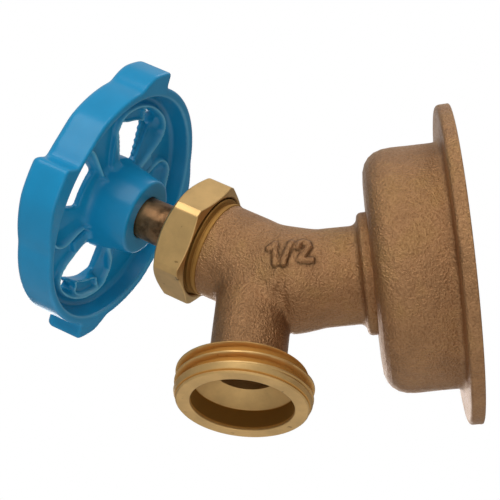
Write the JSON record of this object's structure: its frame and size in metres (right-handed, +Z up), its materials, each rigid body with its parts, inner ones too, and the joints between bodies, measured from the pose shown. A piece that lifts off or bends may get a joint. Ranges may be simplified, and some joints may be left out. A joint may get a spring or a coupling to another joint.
{
  "type": "hose bibb",
  "caption": "Wall-mounted outdoor tap with a bell flange, angled stem, round lobed handwheel and a downward threaded hose spout.",
  "frame": {"origin": "centre of the inlet's open end, in the plane of the wall flange's back face", "axes": "+Y along the inlet axis into the wall, +Z up, the tap stands out toward -Y; X = 0 is the plane of the spout and stem"},
  "size_m": [0.0632, 0.0883, 0.0797],
  "materials": {
    "cast_bronze": "sand cast, rough",
    "machined_brass": "machined, satin",
    "stem_bronze": "drawn bronze, dull",
    "blue_paint": "gloss enamel",
    "steel": "plated",
    "rubber": "moulded",
    "packing": "graphited fibre"
  },
  "bodies": {
    "valve": {"valve_body": "cast_bronze", "bonnet_nut": "machined_brass", "packing_washer": "machined_brass", "packing_ring": "packing", "packing_gland": "machined_brass"},
    "disc": {"disc_holder": "machined_brass", "swivel_ring": "steel", "seat_washer": "rubber", "washer_screw": "machined_brass"},
    "wheel": {"stem": "stem_bronze", "handwheel": "blue_paint", "handle_screw": "steel"}
  },
  "joints": [
    {"name": "disc_lift", "type": "slide", "parent": "valve", "child": "disc", "axis": [0, -0.8271, 0.5621], "range_m": [0, 0.0051]},
    {"name": "wheel_turn", "type": "hinge", "parent": "disc", "child": "wheel", "pos_m": [0, -0.0344, 0], "axis": [0, -0.8271, 0.5621], "range_deg": [0, 720]}
  ],
  "couplings": [
    {"joint": "disc_lift", "follows": "wheel_turn", "m_per_rad": 0.00040425}
  ]
}
